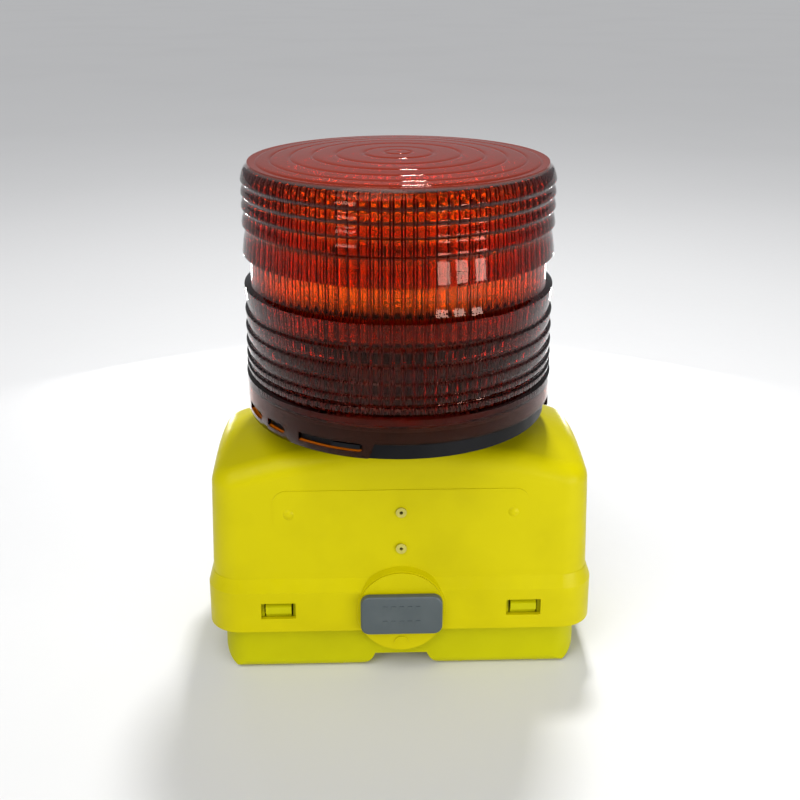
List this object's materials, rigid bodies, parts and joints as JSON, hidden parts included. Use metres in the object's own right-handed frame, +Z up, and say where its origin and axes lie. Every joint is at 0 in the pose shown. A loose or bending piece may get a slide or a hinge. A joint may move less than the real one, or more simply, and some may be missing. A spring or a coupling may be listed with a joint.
{
  "type": "barricade warning light",
  "caption": "Battery warning light with a ribbed round bayonet lens on a moulded case, a drop-out battery tray and a through bolt for fastening it to a barricade board.",
  "frame": {"origin": "where the mounting bolt's axis meets the rear mounting face of the case", "axes": "+Z up along the lens axis, +Y out of the rear face along the bolt towards the board, +X to the right seen from the front"},
  "size_m": [0.2006, 0.1797, 0.268],
  "materials": {
    "cover_plastic": "semi-gloss moulded polyethylene, lemon yellow",
    "tray_plastic": "semi-gloss moulded polyethylene, slightly duller yellow",
    "lens_plastic": "deep amber-red moulded translucent plastic",
    "gasket_rubber": "soft black rubber",
    "base_plastic": "black moulded plastic",
    "screw_steel": "zinc plated",
    "reflector_plastic": "white moulded plastic",
    "board_laminate": "green printed circuit laminate",
    "post_plastic": "dark grey moulded plastic",
    "led_clear": "clear amber resin",
    "cell_ceramic": "ceramic disc with a serpentine track",
    "chip_plastic": "black moulded package",
    "capacitor_sleeve": "blue sleeve",
    "resistor_coat": "tan lacquer with colour bands",
    "contact_laminate": "brown phenolic laminate",
    "contact_metal": "plated contact strip",
    "tube_steel": "zinc plated tube",
    "bolt_steel": "zinc plated bolt",
    "grip_plastic": "slate grey moulded grip",
    "rivet_brass": "small hollow rivet, tinted by the cover",
    "slider_plastic": "red moulded knob",
    "wire_red": "red insulated wire",
    "wire_black": "black insulated wire",
    "battery_jacket": "printed battery jacket, plain",
    "battery_cap": "black moulded cap",
    "spring_steel": "tinned spring wire"
  },
  "bodies": {
    "housing": {"case_cover": "cover_plastic", "lens_base": "base_plastic", "base_reflector": "reflector_plastic", "base_screws": "screw_steel", "circuit_board": "board_laminate", "board_screws": "screw_steel", "led_post": "post_plastic", "led_carrier": "board_laminate", "led_emitter": "led_clear", "photocell": "cell_ceramic", "flasher_chip": "chip_plastic", "capacitor": "capacitor_sleeve", "power_transistor": "chip_plastic", "resistors": "resistor_coat", "contact_board": "contact_laminate", "contact_plates": "contact_metal", "contact_screws": "screw_steel", "bolt_tube": "tube_steel", "cover_rivets": "rivet_brass", "switch_bracket": "tube_steel", "switch_body": "chip_plastic", "supply_leads": "wire_red", "switch_leads": "wire_black"},
    "lens": {"lens_dome": "lens_plastic", "lens_gasket": "gasket_rubber"},
    "tray": {"battery_tray": "tray_plastic", "tray_latches": "tray_plastic", "battery_left": "battery_jacket", "battery_left_top": "battery_cap", "battery_left_springs": "spring_steel", "battery_right": "battery_jacket", "battery_right_top": "battery_cap", "battery_right_springs": "spring_steel"},
    "bolt": {"mounting_bolt": "bolt_steel", "bolt_head_cap": "grip_plastic", "head_washer": "gasket_rubber"},
    "slider": {"switch_slider": "slider_plastic"}
  },
  "joints": [
    {"name": "lens_twist", "type": "hinge", "parent": "housing", "child": "lens", "pos_m": [0, -0.0505, 0.167], "axis": [0, 0, 1], "range_deg": [0, 14]},
    {"name": "tray_drop", "type": "slide", "parent": "housing", "child": "tray", "axis": [0, 0, -1], "range_m": [0, 0.13], "deforming": ["tray_latches"]},
    {"name": "bolt_turn", "type": "hinge", "parent": "housing", "child": "bolt", "pos_m": [0, 0, 0], "axis": [0, 1, 0], "continuous": true},
    {"name": "switch_slide", "type": "slide", "parent": "housing", "child": "slider", "axis": [0, 0, 1], "range_m": [0, 0.005]}
  ]
}
